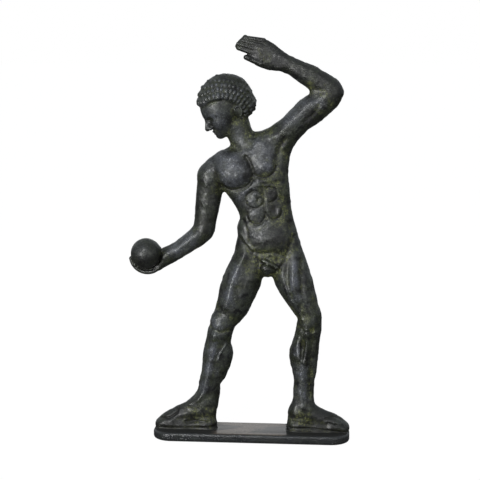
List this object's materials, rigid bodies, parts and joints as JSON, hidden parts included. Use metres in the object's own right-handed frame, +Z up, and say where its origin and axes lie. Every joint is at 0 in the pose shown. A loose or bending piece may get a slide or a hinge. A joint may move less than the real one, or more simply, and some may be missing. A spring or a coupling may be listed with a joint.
{
  "type": "athlete statuette",
  "caption": "Small bronze statuette of a nude athlete with legs apart, left arm bent over the head and a ball in the lowered right hand, cast with a thin oblong plinth.",
  "frame": {"origin": "centre of the plinth's flat underside", "axes": "+Z up, the figure faces -Y, +X towards its raised left arm"},
  "size_m": [0.0828, 0.0174, 0.1503],
  "materials": {
    "bronze": "cast bronze with a black-green patina, rubbed blue-grey on the raised forms and olive verdigris in the hollows"
  },
  "bodies": {
    "root": {"athlete_statuette": "bronze"}
  },
  "joints": []
}
